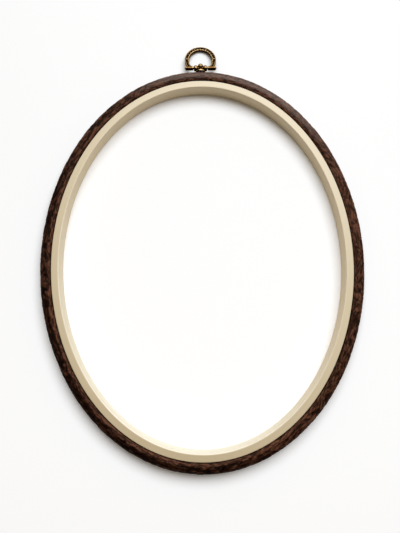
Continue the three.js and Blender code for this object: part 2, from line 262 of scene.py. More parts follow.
grey_glow = graph.node("ShaderNodeCombineColor", {}, {0: glow, 1: glow, 2: glow})
graph.put(shader.inputs["Emission Color"], grey_glow)
graph.put(shader.inputs["Emission Strength"], 1.0)
floor_mesh.materials.append(paper)
print("lamp strength", LAMP_STRENGTH, "sky strength", SKY_STRENGTH)

# %% [markdown]
# ## Surfaces from grids of points
#
# Every new piece is a surface over a grid: a numpy array of rows and columns of points. Neighbouring points
# make the faces. A closed direction joins its last line of points to its first. Whether the faces point
# outwards shows in the volume that they enclose: if it comes out negative, all of them are turned round.


# %% Grid surfaces
def grid_faces(points, wrap_rows, wrap_columns):
    """Each face's corners: (row, column), (row + 1, column), (row + 1, column + 1) and (row, column + 1). Six
    times the enclosed volume is the sum of a . (b x c + c x d) over the faces."""
    rows, columns = points.shape[:2]
    row = np.arange(rows if wrap_rows else rows - 1)[:, None]
    column = np.arange(columns if wrap_columns else columns - 1)[None, :]
    below, beside = (row + 1) % rows, (column + 1) % columns
    around = [(row, column), (below, column), (below, beside), (row, beside)]
    faces = np.stack([r * columns + c for r, c in around], axis=-1).reshape(-1, 4)
    a, b, c, d = (points.reshape(-1, 3)[faces[:, k]] for k in range(4))
    volume = (a * (np.cross(b, c) + np.cross(c, d))).sum()
    return faces if volume > 0 else faces[:, ::-1]


def piece(name, surfaces):
    """One object of one or more surfaces: each is a grid of points, and whether its rows and columns wrap."""
    vertices, faces, count = [], [], 0
    for points, wrap_rows, wrap_columns in surfaces:
        vertices.append(points.reshape(-1, 3))
        faces.append(grid_faces(points, wrap_rows, wrap_columns) + count)
        count += len(vertices[-1])
    mesh = bpy.data.meshes.new(name)
    mesh.from_pydata(np.concatenate(vertices).tolist(), [], np.concatenate(faces).tolist())
    mesh.shade_smooth()
    made = bpy.data.objects.new(name, mesh)
    bpy.context.scene.collection.objects.link(made)
    print(name, len(mesh.vertices), "points", len(mesh.polygons), "faces")
    return made


def store(mesh, name, values):
    """Keeps one number, or one vector, for each point of the mesh, for its material to read."""
    kind, field = ("FLOAT", "value") if values.ndim == 1 else ("FLOAT_VECTOR", "vector")
    attribute = mesh.attributes.new(name, kind, "POINT")
    attribute.data.foreach_set(field, values.astype(np.float32).ravel())


def points_of(mesh):
    """The place of each point of the mesh."""
    points = np.empty(len(mesh.vertices) * 3, np.float32)
    mesh.vertices.foreach_get("co", points)
    return points.reshape(-1, 3)


def normals_of(mesh):
    """The unit normal at each point of the mesh."""
    normals = np.empty(len(mesh.vertices) * 3, np.float32)
    mesh.vertex_normals.foreach_get("vector", normals)
    return normals.reshape(-1, 3)


def line(start, end, count):
    """Points on a straight line: start + t (end - start). The end itself is left to what follows."""
    t = np.arange(count)[:, None] / count
    return np.array(start) * (1 - t) + np.array(end) * t


def bend(start, corner, end, count):
    """Points on a quadratic curve: start (1 - t)² + corner 2t(1 - t) + end t², without its end."""
    t = np.arange(count)[:, None] / count
    return np.array(start) * (1 - t) ** 2 + np.array(corner) * 2 * t * (1 - t) + np.array(end) * t**2


def swell(start, lead, follow, end, count):
    """Points on a cubic curve: start (1-t)³ + lead 3t(1-t)² + follow 3t²(1-t) + end t³, without its end."""
    t = np.arange(count)[:, None] / count
    first = np.array(start) * (1 - t) ** 3 + np.array(lead) * 3 * t * (1 - t) ** 2
    return first + np.array(follow) * 3 * t**2 * (1 - t) + np.array(end) * t**3


# %% [markdown]
# ## The oval
#
# Both hoops follow one oval, the wall on which the inner one sits in the outer one. A hoop is its section,
# carried along that oval and always square to it. Its points are spaced evenly along the oval, so that a
# texture keeps its scale all the way round.

# %% The oval
LIP_OVERHANG = 0.8  # mm, how far the inner hoop's lip stands over its wall
seat_half_width = inner_high.x / MM - LIP_OVERHANG
seat_half_length = (inner_high.y - inner_low.y) / 2 / MM - LIP_OVERHANG


def oval_angles(steps):
    """Angles of an ellipse whose points are evenly spaced: its length is summed finely and divided evenly."""
    fine = np.linspace(0, 2 * np.pi, 20001)
    speed = np.hypot(seat_half_width * np.sin(fine), seat_half_length * np.cos(fine))
    length = np.concatenate([[0], np.cumsum((speed[1:] + speed[:-1]) / 2 * np.diff(fine))])
    return np.interp(np.arange(steps) / steps * length[-1], length, fine), length[-1]


def ring(section, steps):
    """The section, (outwards u, height z), at every step: the oval's point + u times its outward normal, and
    z. Gives the points, the normals and the oval's length."""
    angle, length = oval_angles(steps)
    across, along = np.cos(angle), np.sin(angle)
    normal = np.stack([seat_half_length * across, seat_half_width * along], axis=-1)
    normal /= np.linalg.norm(normal, axis=-1, keepdims=True)
    oval = np.stack([seat_half_width * across, seat_half_length * along + hoop_middle], axis=-1)
    flat = oval[:, None, :] + section[None, :, :1] * normal[:, None, :]
    height = np.broadcast_to(section[None, :, 1:], flat.shape[:2] + (1,))
    return np.concatenate([flat, height], axis=-1), normal, length


def around_section(section):
    """How far each point of a closed section lies along it, from its first point, in mm."""
    steps = np.linalg.norm(np.diff(section, axis=0), axis=1)
    return np.concatenate([[0], np.cumsum(steps)])


def grain_place(steps, length, section, squeeze):
    """A vector for streaks along a ring: a circle as long as the ring, squeezed by so much, with the way
    round the section as height. The circle closes on itself, so a texture on it has no seam."""
    turn = np.arange(steps)[:, None] / steps * 2 * np.pi
    radius = length / (2 * np.pi) / squeeze
    height = np.broadcast_to(around_section(section)[None, :], (steps, len(section)))
    circle = [radius * np.cos(turn) + 0 * height, radius * np.sin(turn) + 0 * height]
    return np.stack(circle + [height], axis=-1).reshape(-1, 3)


print("seat oval in mm:", round(2 * seat_half_width, 1), "by", round(2 * seat_half_length, 1))

# %% [markdown]
# ## The inner hoop
#
# The cream ring is one moulding: a straight inner wall, a front face that slopes down outwards, and a thin
# lip that rests in the outer hoop's rebate. What makes it read as plastic is its edges. The crease between
# wall and face is rounded by nearly a millimetre and the lip's edge by half of one, and both catch the
# light as bright lines. A section's places are in mm: outwards from the seat, and up from the back.

# %% Inner hoop
RING_BAND = 4.2  # thickness of the wall
WALL_TOP = 9.0
CREASE_CORNER = 9.97  # where wall and face would meet if the crease were sharp
CREASE = (-3.25, 9.78)
FACE_FOOT = (0.3, 9.05)
LIP_CORNER = 8.93
LIP_EDGE = 8.45
LIP_UNDER = 7.75
BACK_ROUND = 0.5
INNER_STEPS = 900

inner_section = np.concatenate([
    line((-RING_BAND, BACK_ROUND), (-RING_BAND, WALL_TOP), 18),
    bend((-RING_BAND, WALL_TOP), (-RING_BAND, CREASE_CORNER), CREASE, 14),
    line(CREASE, FACE_FOOT, 12),
    bend(FACE_FOOT, (LIP_OVERHANG, LIP_CORNER), (LIP_OVERHANG, LIP_EDGE), 8),
    line((LIP_OVERHANG, LIP_EDGE), (LIP_OVERHANG, LIP_UNDER), 2),
    line((LIP_OVERHANG, LIP_UNDER), (0, LIP_UNDER), 3),
    line((0, LIP_UNDER), (0, BACK_ROUND), 8),
    bend((0, BACK_ROUND), (0, 0), (-BACK_ROUND, 0), 5),
    line((-BACK_ROUND, 0), (BACK_ROUND - RING_BAND, 0), 5),
    bend((BACK_ROUND - RING_BAND, 0), (-RING_BAND, 0), (-RING_BAND, BACK_ROUND), 5),
])
inner_points, _, inner_length = ring(inner_section, INNER_STEPS)
inner_ring = piece("cream_inner_hoop", [(inner_points * MM, True, True)])
store(inner_ring.data, "grain", grain_place(INNER_STEPS, inner_length, inner_section, 60.0))
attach(inner_ring, "inner_hoop_body")
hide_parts("inner_hoop")
print("inner hoop's section:", len(inner_section), "points, ring", round(inner_length), "mm round")

# %% [markdown]
# ## Cream plastic
#
# Injection-moulded plastic is nearly one colour. The mould's face was cut along the ring, so the plastic
# carries hair lines that run that way. Streaky noise on the ring's own coordinate gives them, in the bump
# and, barely, in the colour. A broad mottle keeps the long curve from looking printed. Each point also keeps
# how squarely it faces the lamp, with what an upright wall takes back from the paper, and is painted paler
# with that: painted light on the walls that face the lamp.

# %% Cream plastic
CREAM = colour(0.715, 0.565, 0.34)
CREAM_PALE = colour(0.755, 0.61, 0.38)
# painted light: the paler cream of walls that face the lamp
CREAM_PAINTED_LIT = colour(0.82, 0.765, 0.62)
PAPER_GLOW = 0.78  # what an upright wall takes back from the paper under it, beside the lamp's own 1
PAINTED_LIGHT_START, PAINTED_LIGHT_RATE = 0.70, 1.5
cream_normals = normals_of(inner_ring.data)
upright = 1 - cream_normals[:, 2] ** 2
# painted light: how squarely each point faces the lamp, with what an upright wall takes from the paper
lamp_facing = cream_normals @ np.array(Vector(LAMP_PLACE).normalized()) + PAPER_GLOW * upright
store(inner_ring.data, "painted_light_paleness", np.clip((lamp_facing - PAINTED_LIGHT_START) * PAINTED_LIGHT_RATE, 0, 1))
cream, graph, shader = new_material("cream_plastic")
grain = graph.attribute("grain", "Vector")
place = graph.node("ShaderNodeTexCoord", {}, {}, "Object")
hairlines = graph.noise(grain, 5.0, 2.0, 0.6)
mottle = graph.noise(place, 45.0, 3.0, 0.55)
body_colour = graph.mix(mottle * 0.6 + hairlines * 0.4, CREAM, CREAM_PALE)
# paler where light is painted on
graph.put(shader.inputs["Base Color"], graph.mix(graph.attribute("painted_light_paleness"), body_colour, CREAM_PAINTED_LIT))
graph.put(shader.inputs["Roughness"], 0.36 + hairlines * 0.12)
graph.put(shader.inputs["Specular IOR Level"], 0.9)
bump = graph.node("ShaderNodeBump", {}, {"Strength": 0.25, "Distance": 0.00003, "Height": hairlines})
graph.put(shader.inputs["Normal"], bump)
inner_ring.data.materials.append(cream)
print("cream plastic on", inner_ring.name)

# %% [markdown]
# ## The outer hoop's bark
#
# The vinyl is cast in a mould taken from rough wood. Its front is a jumble of long flakes along the ring,
# with cracks between them and fibres on each. Flakes are cells round scattered points: a point of the
# surface belongs to the nearest one, and a crack runs where the two nearest are equally near. Both the
# points and the noise that bends the cells come from tables that repeat, so the pattern closes after one
# turn.


# %% Repeating noise and flakes
def soft_noise(x, y, columns, rows, seed):
    """Random numbers on a grid that repeats, blended between its corners with 3t² - 2t³: from 0 to 1."""
    table = np.random.default_rng(seed).random((columns, rows))
    left, low = np.floor(x).astype(int), np.floor(y).astype(int)
    tx, ty = x - left, y - low
    tx, ty = tx * tx * (3 - 2 * tx), ty * ty * (3 - 2 * ty)

    def corner(i, j):
        return table[(left + i) % columns, (low + j) % rows]

    bottom = corner(0, 0) * (1 - tx) + corner(1, 0) * tx
    top = corner(0, 1) * (1 - tx) + corner(1, 1) * tx
    return bottom * (1 - ty) + top * ty


def flakes(x, y, columns, rows, seed):
    """Cells round points jittered on a repeating grid. Gives the crack, which is the second nearest distance
    less the nearest, the tone, the nearest point's random number, and the tilt, a slope across its cell."""
    rng = np.random.default_rng(seed)
    jitter_x, jitter_y, tones, lean_x, lean_y = rng.random((5, columns, rows))
    column, row = np.floor(x).astype(int), np.floor(y).astype(int)
    nearest, second = np.full(x.shape, 9.0), np.full(x.shape, 9.0)
    tone, tilt = np.zeros(x.shape), np.zeros(x.shape)
    for i in (-1, 0, 1):
        for j in (-1, 0, 1):
            cell = (column + i) % columns, (row + j) % rows
            away_x = column + i + 0.1 + 0.8 * jitter_x[cell] - x
            away_y = row + j + 0.1 + 0.8 * jitter_y[cell] - y
            distance = np.hypot(away_x, away_y)
            closer = distance < nearest
            second = np.where(closer, nearest, np.minimum(second, distance))
            nearest = np.where(closer, distance, nearest)
            tone = np.where(closer, tones[cell], tone)
            slope = (lean_x[cell] - 0.5) * away_x + (lean_y[cell] - 0.5) * away_y
            tilt = np.where(closer, slope, tilt)
    return second - nearest, tone, tilt


def step_between(value, low, high):
    """0 under low, 1 over high, and 3t² - 2t³ between them."""
    t = np.clip((value - low) / (high - low), 0, 1)
    return t * t * (3 - 2 * t)


# %% [markdown]
# The relief only ever goes inwards, so the hoop keeps its real size. It fades out towards the mouth, where
# the lip lies, and at the foot, so that the hoop rests on a plain flat back as such hoops do.

# %% Outer hoop
CLOTH_GAP = 0.3  # between the two hoops
MOUTH = (1.1, 8.3)  # where the front starts, beside the inner hoop's lip
REBATE_FLOOR = 7.45
CROWN = (3.9, 9.85)
EDGE = (8.5, 5.0)
HEEL = (4.5, 0.0)
FOOT = (0.8, 0.0)
FULLNESS = 0.66  # of a rounding, where a circle has 0.55
SEAT_STEPS, REBATE_STEPS, LIP_STEPS, FOOT_STEPS = 4, 2, 2, 3
OUTER_STEPS = 1280
FLAKE_LENGTH, FLAKE_WIDTH = 6.5, 1.9  # mm
CHIP_LENGTH, CHIP_WIDTH = 1.9, 1.0  # mm, the small cells among the flakes
CRACK_DEPTH, TILT_DEPTH, LUMP_DEPTH, STREAK_DEPTH, FIBRE_DEPTH = 0.25, 0.12, 0.2, 0.15, 0.05  # mm
MOUTH_FADE, FOOT_FADE = 1.2, 2.0  # mm, over which the relief fades out


def shoulder(start, end, count):
    """A quarter of a full round, from level to upright or back, with leads of FULLNESS times its reach."""
    (u0, z0), (u1, z1) = start, end
    return swell(start, (u0 + FULLNESS * (u1 - u0), z0), (u1, z1 + FULLNESS * (z0 - z1)), end, count)


outer_section = np.concatenate([
    line((CLOTH_GAP, 0.5), (CLOTH_GAP, REBATE_FLOOR), SEAT_STEPS),
    line((CLOTH_GAP, REBATE_FLOOR), (MOUTH[0], REBATE_FLOOR), REBATE_STEPS),
    line((MOUTH[0], REBATE_FLOOR), MOUTH, LIP_STEPS),
    bend(MOUTH, (MOUTH[0], CROWN[1]), CROWN, 14),
    shoulder(CROWN, EDGE, 28),
    shoulder(HEEL, EDGE, 22)[::-1],
    line(HEEL, FOOT, FOOT_STEPS),
    bend(FOOT, (CLOTH_GAP, 0), (CLOTH_GAP, 0.5), FOOT_STEPS),
])
print("outer hoop's section:", len(outer_section), "points")
outer_points, outer_normal, outer_length = ring(outer_section, OUTER_STEPS)

# %% [markdown]
# The depth is a sum of five: cracks, flakes that lean, broad lumps, streaks that run slantwise, and fine
# fibres. Small chips take the place of the long flakes in patches. What the colour needs is kept with the
# points, so that it follows the relief: streaks, cracks and each flake's tone, and also which parts are
# painted lighter, towards the lamp's side as painted light and in a strip beside the cream ring, and which
# ones hands have worn smooth.

# %% Bark relief
LIT_SIDE = np.array([0.7, 0.71])  # the lamp's side, towards which the vinyl is painted lighter: painted light
HANGER_SIDE = np.array([0.25, 0.97])  # the side that hands have worn smooth
CRACK_SHARE = 0.22  # of a flake's width, over which a crack's side slopes
RING_SIDE = 1.8, 4.2  # mm from the mouth, where the lighter strip beside the cream ring ends
across = np.broadcast_to(around_section(outer_section)[None, :], outer_points.shape[:2])
along = np.broadcast_to(np.arange(OUTER_STEPS)[:, None] / OUTER_STEPS * outer_length, across.shape)


def ring_noise(length, width, seed, slip=0.0):
    """Soft noise with lumps of about that length along the ring and that width across it, in mm. The slip
    moves them across, and where it changes along the ring they run slantwise."""
    columns = round(outer_length / length)
    return soft_noise(along / outer_length * columns, (across + slip) / width, columns, 64, seed)


swirl_along = (ring_noise(9, 4, 11) - 0.5) * 6 + (ring_noise(3, 2, 12) - 0.5) * 2
swirl_across = (ring_noise(8, 5, 13) - 0.5) * 4.0 + (ring_noise(2.5, 2, 14) - 0.5) * 0.9


def ring_flakes(length, width, seed):
    columns = round(outer_length / length)
    x = (along + swirl_along) / outer_length * columns
    return flakes(x, (across + swirl_across) / width, columns, 64, seed)


flake_crack, flake_tone, flake_tilt = ring_flakes(FLAKE_LENGTH, FLAKE_WIDTH, 21)
chip_crack, chip_tone, _ = ring_flakes(CHIP_LENGTH, CHIP_WIDTH, 22)
chipped = step_between(ring_noise(14, 3, 23), 0.45, 0.65)
crack = np.minimum(flake_crack, chip_crack + 0.5 * (1 - chipped))
fibres = ring_noise(3.5, 0.35, 24) * 0.6 + ring_noise(1.2, 0.22, 25) * 0.4
depth = CRACK_DEPTH * (1 - step_between(crack, 0.0, CRACK_SHARE))
depth = depth + TILT_DEPTH * np.clip(0.5 - flake_tilt, 0, 1) + LUMP_DEPTH * ring_noise(7, 3, 26)
slant = (ring_noise(12, 10, 31) - 0.5) * 6
streak = ring_noise(3.2, 0.8, 32, slant) * 0.5 + ring_noise(1.7, 0.5, 33, slant) * 0.5
streak = step_between(streak, 0.32, 0.68)
depth = depth + FIBRE_DEPTH * fibres + STREAK_DEPTH * (1 - streak)
mouth_at = around_section(outer_section)[SEAT_STEPS + REBATE_STEPS + LIP_STEPS]
foot_at = around_section(outer_section)[-2 * FOOT_STEPS]
shown = step_between(across, mouth_at, mouth_at + MOUTH_FADE)
shown = shown * (1 - step_between(across, foot_at - FOOT_FADE, foot_at))

edge_way = np.gradient(outer_section, axis=0)
edge_way /= np.linalg.norm(edge_way, axis=1, keepdims=True)
out_u, out_z = -edge_way[:, 1], edge_way[:, 0]
sunk = (depth * shown)[..., None]
outer_points[..., :2] -= sunk * out_u[None, :, None] * outer_normal[:, None, :]
outer_points[..., 2:] -= sunk * out_z[None, :, None]
print("relief goes", round(float((depth * shown).max()), 2), "mm deep")

outer_ring = piece("bark_outer_hoop", [(outer_points * MM, True, True)])
inner_side = 1 - step_between(across - mouth_at, *RING_SIDE)
towards_lit_side = (outer_normal @ LIT_SIDE)[:, None]
towards_hanger = (outer_normal @ HANGER_SIDE)[:, None]
store(outer_ring.data, "streak", streak.ravel())
# painted light: lighter towards the lamp's side; beside the cream ring a lighter strip
ring_strip_and_painted_light = np.maximum(inner_side, 0.9 * step_between(towards_lit_side, -1.7, 1.0))
worn_smooth = (1 - inner_side) * step_between(towards_hanger, 0.6, 0.95)
store(outer_ring.data, "ring_strip_and_painted_light", ring_strip_and_painted_light.ravel())
store(outer_ring.data, "smooth", worn_smooth.ravel())
store(outer_ring.data, "crack", (1 - step_between(crack, 0.0, 0.2) * shown).ravel())
store(outer_ring.data, "tone", (flake_tone * (1 - chipped) + chip_tone * chipped).ravel())
store(outer_ring.data, "grain", grain_place(OUTER_STEPS, outer_length, outer_section, 4.0))
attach(outer_ring, "outer_hoop_body")
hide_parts("outer_hoop")

# %% [markdown]
# ## Wood-look vinyl
#
# The vinyl is dark brown all through, and the mould's flakes make most of the look. On top of that each
# flake and streak has its own tone, from nearly black over reddish brown to tan, and the cracks are painted
# darker, which is painted shade. The colour is painted lighter towards the lamp's side, which is painted
# light, and it is lighter in a strip beside the cream ring. The skin is dull from the mould, and near the
# hanger hands have worn it smooth, so two Principled shaders of the same colour, a dull and a glossy one, are
# mixed there.

# %% Wood-look vinyl
BARK_DARK = colour(0.007, 0.0018, 0.0006)
BARK_RED = colour(0.038, 0.0125, 0.0055)
BARK_TAN = colour(0.125, 0.050, 0.027)
# painted shade: the near black that the cracks are painted
BARK_CRACK_SHADE = colour(0.0015, 0.0005, 0.0002)
BARK_SHEEN = colour(1.0, 0.78, 0.66)
RED_FROM, RED_FULL = 0.25, 0.6  # how worn the vinyl is, with its painted light, where it turns from dark to red
TAN_FROM, TAN_FULL = 0.52, 0.9  # and from red to tan
SMOOTH_GLOSS, DULL_GLOSS = 0.7, 0.05
vinyl, graph, shader = new_material("wood_look_vinyl")
grain = graph.attribute("grain", "Vector")
streak_at, crack_shade_at, tone_at = (graph.attribute(name) for name in ("streak", "crack", "tone"))
fibres_at = graph.noise(grain, 1.6, 4.0, 0.65)
pores = graph.noise(graph.node("ShaderNodeTexCoord", {}, {}, "Object"), 1500.0, 2.0, 0.5)
ring_strip_and_light_at, smooth_at = graph.attribute("ring_strip_and_painted_light"), graph.attribute("smooth")
# wear from streaks, tones and fibres; the last term adds painted light on the lamp's side and the strip
wear_and_painted_light = streak_at * 0.4 + tone_at * 0.25 + fibres_at * 0.4 + (ring_strip_and_light_at - 0.5) * 0.45
bark = graph.mix(graph.between(wear_and_painted_light, RED_FROM, RED_FULL), BARK_DARK, BARK_RED)
bark = graph.mix(graph.between(wear_and_painted_light, TAN_FROM, TAN_FULL), bark, BARK_TAN)
# painted shade in the cracks
bark = graph.mix(crack_shade_at * 0.8, bark, BARK_CRACK_SHADE)
height = fibres_at * 0.7 + pores * 0.3
bump = graph.node("ShaderNodeBump", {}, {"Strength": 0.8, "Distance": 0.0003, "Height": height})
dull = vinyl.node_tree.nodes.new("ShaderNodeBsdfPrincipled")
for each, gloss in ((shader, SMOOTH_GLOSS), (dull, DULL_GLOSS)):
    graph.put(each.inputs["Base Color"], bark)
    graph.put(each.inputs["Roughness"], 0.38 + fibres_at * 0.15)
    graph.put(each.inputs["Specular IOR Level"], gloss)
    graph.put(each.inputs["Specular Tint"], BARK_SHEEN)
    graph.put(each.inputs["Normal"], bump)
glossy_share = 0.04 + smooth_at * 0.96
two_skins = {0: glossy_share, 1: Shade(graph, dull.outputs[0]), 2: Shade(graph, shader.outputs[0])}
skin = graph.node("ShaderNodeMixShader", {}, two_skins)
graph.put(vinyl.node_tree.nodes["Material Output"].inputs["Surface"], skin)
outer_ring.data.materials.append(vinyl)
print("vinyl on", outer_ring.name)

# %% [markdown]
# ## Casting the hanger
#
# The hanger's parts are castings: beads, balls and strands that flow into each other with soft corners.
# Each is made of simple closed surfaces that run into one another, a voxel remesh melts them into one skin,
# and a few rounds of smoothing soften it as the foundry does. They are made in millimetres, because the
# remesh has a smallest voxel, and the pin's axis is their X axis.


# %% Casting helpers
def turned(radius, place, axis, sides=48):
    """A profile turned about X or Y: at each place on it a circle of that radius. Zero radii close it."""
    turn = np.linspace(0, 2 * np.pi, sides, endpoint=False)[None, :]
    radius, place = np.asarray(radius, float)[:, None], np.asarray(place, float)[:, None]
    ahead = place + 0 * turn
    round_a, round_b = radius * np.cos(turn), radius * np.sin(turn)
    parts = [ahead, round_a, round_b] if axis == "x" else [round_a, ahead, round_b]
    return np.stack(parts, axis=-1), False, True


def ball(middle, radius):
    """A ball: middle + radius times (cos a cos b, sin a cos b, sin b)."""
    a = np.linspace(0, 2 * np.pi, 32, endpoint=False)[None, :]
    b = np.linspace(-np.pi / 2, np.pi / 2, 17)[:, None]
    x, y, z = np.cos(a) * np.cos(b), np.sin(a) * np.cos(b), np.sin(b) + 0 * a
    return np.array(middle) + radius * np.stack([x, y, z], axis=-1), False, True


def strand(path, half_width, half_height, sides=24):
    """An oval section along a path: path + w cos(a) times its side + h sin(a) times Z, shut at both ends."""
    way = np.gradient(path, axis=0)
    way /= np.linalg.norm(way, axis=1, keepdims=True)
    side = np.stack([-way[:, 1], way[:, 0], 0 * way[:, 0]], axis=-1)
    side /= np.linalg.norm(side, axis=1, keepdims=True)
    a = np.linspace(0, 2 * np.pi, sides, endpoint=False)[None, :, None]
    width = np.broadcast_to(half_width, len(path))[:, None, None]
    height = np.broadcast_to(half_height, len(path))[:, None, None]
    aside, upwards = side[:, None, :], np.array([0, 0, 1.0])
    tube = path[:, None, :] + width * np.cos(a) * aside + height * np.sin(a) * upwards
    ends = [np.broadcast_to(path[k], (1, sides, 3)) for k in (0, -1)]
    return np.concatenate([ends[0], tube, ends[1]]), False, True


def band(outer_edge, inner_edge, back, front, rounding=0.35):
    """A flat band between two edge curves: a rounded rectangle from edge to edge, and from back to front."""
    corner = np.linspace(0, np.pi / 2, 5)
    width = np.linalg.norm(outer_edge - inner_edge, axis=1).mean()
    r, s = rounding, rounding / width
    cos, sin = np.cos(corner), np.sin(corner)
    share = [1 - s + s * cos, s - s * sin, s - s * cos, 1 - s + s * sin]
    rise = [front - r + r * sin, front - r + r * cos, back + r - r * sin, back + r - r * cos]
    share, rise = np.concatenate(share)[None, :, None], np.concatenate(rise)[None, :]
    flat = inner_edge[:, None, :2] * (1 - share) + outer_edge[:, None, :2] * share
    tube = np.concatenate([flat, np.broadcast_to(rise, flat.shape[:2])[..., None]], axis=-1)
    ends = [np.broadcast_to(tube[k].mean(0), (1,) + tube.shape[1:]) for k in (0, -1)]
    return np.concatenate([ends[0], tube, ends[1]]), False, True


def cast(name, surfaces, voxel, rounds):
    """Melts the surfaces, in mm, into one skin with a voxel remesh, and smooths it for some rounds."""
    rough = piece(name + "_pattern", surfaces)
    remesh = rough.modifiers.new("melt", "REMESH")
    remesh.mode, remesh.voxel_size, remesh.use_smooth_shade = "VOXEL", voxel, True
    smooth = rough.modifiers.new("soften", "SMOOTH")
    smooth.factor, smooth.iterations = 0.5, rounds
    applied = rough.evaluated_get(bpy.context.evaluated_depsgraph_get())
    mesh = bpy.data.meshes.new_from_object(applied)
    bpy.data.objects.remove(rough)
    mesh.name = name
    made = bpy.data.objects.new(name, mesh)
    bpy.context.scene.collection.objects.link(made)
    print(name, len(mesh.vertices), "points", len(mesh.polygons), "faces")
    return made


# %% [markdown]
# Antique brass is blackened all over and then rubbed, so what stands out is bright and what lies deep stays
# dark. The mesh itself knows which is which: a point that stands out of a smoothed copy of its surface is a
# high spot. That height is kept as an attribute named `rub`. A second attribute says how well a mop gets at
# the point, because a high spot on the far side stays dark too. The mop's side is the lamp's side, and parts
# lying low count as out of reach, so this also paints shade on faces turned from the lamp and on low parts.


# %% Wear from shape
MOP_AND_LAMP_SIDE = np.array([0.0, 0.6, 0.8])  # the front and the hanger's far end: the mop's side and the lamp's
MOP_REACH = 0.25, 0.65  # the facing where the mop first touches and where it polishes; less is painted shade
PROUD_HEIGHT = 0.55, 0.95  # mm over the pin's axis where mop and painted light start to reach well and where they do
SHELTERED = 0.4  # how well it reaches what lies lower: painted shade there
SMOOTHING = 0.6  # how far a point moves to its neighbours' middle in one round
RUB_PER_MM = 2.5


def smoothed(mesh, points, rounds):
    """Moves each point SMOOTHING of the way to the middle of its neighbours, and does so for some rounds."""
    edges = np.empty(len(mesh.edges) * 2, np.int32)
    mesh.edges.foreach_get("vertices", edges)
    one, two = edges.reshape(-1, 2).T
    one, two = np.concatenate([one, two]), np.concatenate([two, one])
    neighbours = np.bincount(one, minlength=len(points))[:, None]
    soft = points.copy()
    for _ in range(rounds):
        total = np.stack([np.bincount(one, soft[two, k], len(points)) for k in range(3)], axis=-1)
        soft = (1 - SMOOTHING) * soft + SMOOTHING * total / np.maximum(neighbours, 1)
    return soft


def rub_marks(made, rounds, level=0.5):
    """Stores how far each point stands out of its smoothed surface along its normal: 0 is deep, 1 is high,
    and the given level is neither. Beside it goes how well the mop reaches the point: how far its normal
    turns to the mop's side, less where it lies low. The mop's side is the lamp's, so this part is painted
    shade on faces turned from the lamp and on low parts."""
    mesh = made.data
    points, normals = points_of(mesh).astype(float), normals_of(mesh)
    high = ((points - smoothed(mesh, points, rounds)) * normals).sum(1)
    store(mesh, "rub", np.clip(level + high * RUB_PER_MM, 0, 1))
    proud = SHELTERED + (1 - SHELTERED) * step_between(points[:, 2], *PROUD_HEIGHT)
    # painted shade: faces turned from the lamp's side and parts lying low count as out of the mop's reach
    store(mesh, "reach_and_painted_shade", step_between(normals @ MOP_AND_LAMP_SIDE, *MOP_REACH) * proud)
    print(made.name, "stands out by up to", round(float(high.max()), 2), "mm")


def seat_on_pin(made, droop):
    """Turns the points about the pin's axis by the droop, moves them to its place and makes metres of mm."""
    mesh = made.data
    x, y, z = points_of(mesh).T
    cos, sin = math.cos(droop), math.sin(droop)
    placed = np.stack([x, y * cos + z * sin, z * cos - y * sin], axis=-1) * MM + np.array(pin_place)
    mesh.vertices.foreach_set("co", placed.astype(np.float32).ravel())
    mesh.update()


# %% [markdown]
# ## The post, the washer and the pin
#
# The post holds the pin in a barrel of two fat beads, with a ball on top and a neck below. Its screw shank is
# hidden in the vinyl. A thin domed washer lies between the neck and the hoop. The pin passes through the
# barrel and both knuckles, and its ends are peened over.

# %% Post, washer and pin
swing = next(joint for joint in frame["joints"] if joint["name"] == "bail_swing")
pin_place = swing["pos_m"]
print("the pin is at", pin_place)
CAST_LEVEL = 0.56  # the rub of an even surface that is polished more than the bail is
BALL_RADIUS, BALL_RISE = 1.9, 1.25  # mm, like all sizes of the hanger
BEAD_RADIUS, BEAD_LENGTH, BEADS_APART, WAIST_RADIUS = 1.9, 2.7, 3.7, 1.0
NECK_RADIUS, NECK_REACH, FLARE_START = 1.4, 1.5, 0.7
SHANK_RADIUS, TIP_LENGTH = 0.9, 1.6
THREAD_PITCH, THREAD_DEPTH, THREAD_START = 1.1, 0.28, (2.6, 3.2)
HOOP_EDGE = -3.6  # the hoop's edge, seen from the pin
shank_tip = (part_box("hanger_post")[0].y - pin_place[1]) / MM
WASHER_RADIUS, WASHER_WALL, WASHER_RIM, WASHER_HOLE, WASHER_GAP = 3.1, 0.55, 0.75, 1.2, 0.3
PIN_RADIUS, PIN_HEAD_RADIUS, PIN_HEAD_HEIGHT, PIN_PLAY = 0.5, 0.85, 0.3, 0.12


def barrel():
    """Right of the middle, a bead: along the pin 3t² - 2t³ of its length, and a radius that swells over the
    waist's by 4t(1 - t) of the difference. The left half is its mirror image, and both ends are closed."""
    t = np.linspace(0, 1, 41)
    along_pin = BEADS_APART / 2 + BEAD_LENGTH * step_between(t, 0, 1)
    radius = WAIST_RADIUS + (BEAD_RADIUS - WAIST_RADIUS) * 4 * t * (1 - t)
    along_pin, radius = np.append(along_pin, along_pin[-1]), np.append(radius, 0)
    return turned(np.concatenate([radius[::-1], radius]), np.concatenate([-along_pin[::-1], along_pin]), "x")


def neck():
    """Radius down from the pin: the waist's, and at the foot a flare, squared, to the neck's radius."""
    y = np.linspace(0, -NECK_REACH, 33)
    flare = np.clip((-y - FLARE_START) / (NECK_REACH - FLARE_START), 0, 1) ** 2
    radius = WAIST_RADIUS + (NECK_RADIUS - WAIST_RADIUS) * flare
    return turned(np.concatenate([[0], radius, [0]]), np.concatenate([[0], y, [-NECK_REACH]]), "y")


